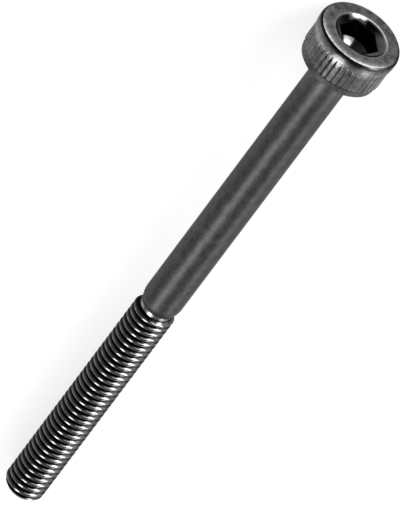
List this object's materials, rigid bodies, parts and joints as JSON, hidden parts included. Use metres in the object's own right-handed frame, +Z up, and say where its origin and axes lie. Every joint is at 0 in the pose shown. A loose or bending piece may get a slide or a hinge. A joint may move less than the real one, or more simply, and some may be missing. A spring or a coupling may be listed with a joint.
{
  "type": "hex socket cap screw",
  "caption": "Long black socket head cap screw: knurled round head with hexagon socket, plain shank, short neck and fine threaded end, lying on its side",
  "frame": {"origin": "on the resting surface, under the middle of the screw's bounding box", "axes": "the screw lies on its side on z = 0 with its head towards +X, its axis rising 1.85 degrees towards the head because the head is wider than the thread; +Z is up"},
  "size_m": [0.0454, 0.0058, 0.0058],
  "materials": {
    "black_oxide": "satin black oxide, oiled"
  },
  "bodies": {
    "root": {"cap_screw": "black_oxide"}
  },
  "joints": []
}
